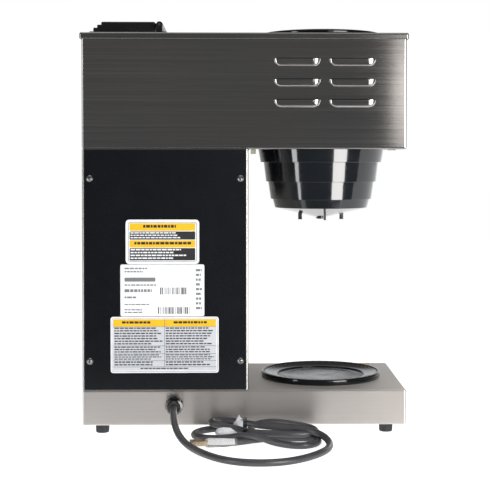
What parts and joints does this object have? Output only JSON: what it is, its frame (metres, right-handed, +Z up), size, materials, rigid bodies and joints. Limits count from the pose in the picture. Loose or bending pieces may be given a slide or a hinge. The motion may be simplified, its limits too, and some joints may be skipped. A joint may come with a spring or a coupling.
{
  "type": "pour-over coffee brewer",
  "caption": "Countertop pour-over coffee brewer with slide-out brew funnel, lower and upper decanter warmers, flip-up fill lid and a hanked mains cord.",
  "frame": {"origin": "on the floor at the bottom centre of the brewer without its cord, midway between the funnel handle's tip and the cord gland's end", "axes": "+Z up, front faces -Y, +X to the right as seen from the front, where the tank column stands"},
  "size_m": [0.4114, 0.4155, 0.5229],
  "materials": {
    "base_steel": "brushed stainless, horizontal grain",
    "wrap_steel": "brushed stainless",
    "head_steel": "dark brushed stainless, horizontal grain",
    "cap_steel": "brushed stainless",
    "galvanized": "galvanized sheet",
    "zinc": "zinc plated",
    "stainless": "plain stainless",
    "rubber_black": "matte rubber",
    "cover_black": "fine textured black paint",
    "nylon_grey": "moulded nylon",
    "nylon_black": "moulded nylon",
    "brass_fittings": "turned brass",
    "enamel_black": "gloss black enamel",
    "enamel_dark": "dark grey enamel",
    "element_foil": "aluminium cased heater",
    "funnel_black": "gloss moulded",
    "plastic_black": "satin moulded",
    "panel_black": "satin film",
    "rocker_red": "moulded",
    "rocker_black": "moulded",
    "silicone_red": "soft silicone",
    "silicone_clear": "translucent silicone",
    "phenolic": "moulded phenolic",
    "copper": "copper",
    "wire_insulation": "insulated wire",
    "label_film": null,
    "decal_amber": "printed film, plain",
    "cord_jacket": "matte cord jacket",
    "paper_white": "blank paper",
    "plug_white": "moulded plug",
    "brass_prongs": "brass"
  },
  "bodies": {
    "brewer": {"base_pan": "base_steel", "bottom_plate": "galvanized", "rubber_feet": "rubber_black", "foot_screws": "zinc", "column_wrap": "wrap_steel", "back_cover": "cover_black", "cover_screws": "zinc", "head_shell": "head_steel", "top_cap": "cap_steel", "head_floor": "galvanized", "rail_left": "zinc", "rail_right": "zinc", "rail_screws": "zinc", "funnel_stops": "nylon_grey", "sprayhead": "stainless", "spray_nut": "brass_fittings", "lower_warmer_ring": "enamel_black", "lower_warmer_plate": "enamel_dark", "upper_warmer_ring": "enamel_black", "upper_warmer_plate": "enamel_dark", "warmer_elements": "element_foil", "warmer_brackets": "zinc", "pour_in_frame": "plastic_black", "lid_hinge_pin": "zinc", "pour_in_basin": "stainless", "fill_screen": "stainless", "tank": "stainless", "tank_gasket": "silicone_red", "tank_lid": "stainless", "tank_lid_screws": "zinc", "tank_shelf": "galvanized", "tank_heater": "stainless", "fill_tube": "stainless", "spray_tube": "silicone_clear", "limit_thermostat": "phenolic", "thermostat_body": "phenolic", "thermostat_bulb": "copper", "switch_panel": "panel_black", "brew_switch_body": "plastic_black", "upper_warmer_switch_body": "plastic_black", "lower_warmer_switch_body": "plastic_black", "terminal_block": "phenolic", "wire_harness": "wire_insulation", "back_labels": "label_film", "base_decal": "decal_amber", "gland_body": "nylon_black", "gland_locknut": "nylon_black", "cord_lead": "cord_jacket", "cord_hank": "cord_jacket", "cord_tie": "nylon_black", "cord_tag": "paper_white", "cord_plug": "plug_white", "plug_prongs": "brass_prongs"},
    "funnel": {"funnel": "funnel_black", "funnel_handle": "funnel_black", "wire_basket": "stainless"},
    "pour_in_lid": {"pour_in_lid": "plastic_black"},
    "brew_rocker": {"brew_switch_rocker": "rocker_red"},
    "upper_warmer_rocker": {"upper_warmer_switch_rocker": "rocker_black"},
    "lower_warmer_rocker": {"lower_warmer_switch_rocker": "rocker_black"}
  },
  "joints": [
    {"name": "funnel_slide", "type": "slide", "parent": "brewer", "child": "funnel", "axis": [0, -1, 0], "range_m": [0, 0.19]},
    {"name": "lid_hinge", "type": "hinge", "parent": "brewer", "child": "pour_in_lid", "pos_m": [0.1084, 0.008, 0.5187], "axis": [0, -1, 0], "range_deg": [0, 100]},
    {"name": "brew_rocker_tilt", "type": "hinge", "parent": "brewer", "child": "brew_rocker", "pos_m": [0.082, -0.0955, 0.426], "axis": [1, 0, 0], "range_deg": [0, 14]},
    {"name": "upper_warmer_rocker_tilt", "type": "hinge", "parent": "brewer", "child": "upper_warmer_rocker", "pos_m": [0.114, -0.0955, 0.426], "axis": [1, 0, 0], "range_deg": [0, 14]},
    {"name": "lower_warmer_rocker_tilt", "type": "hinge", "parent": "brewer", "child": "lower_warmer_rocker", "pos_m": [0.146, -0.0955, 0.426], "axis": [1, 0, 0], "range_deg": [0, 14]}
  ]
}
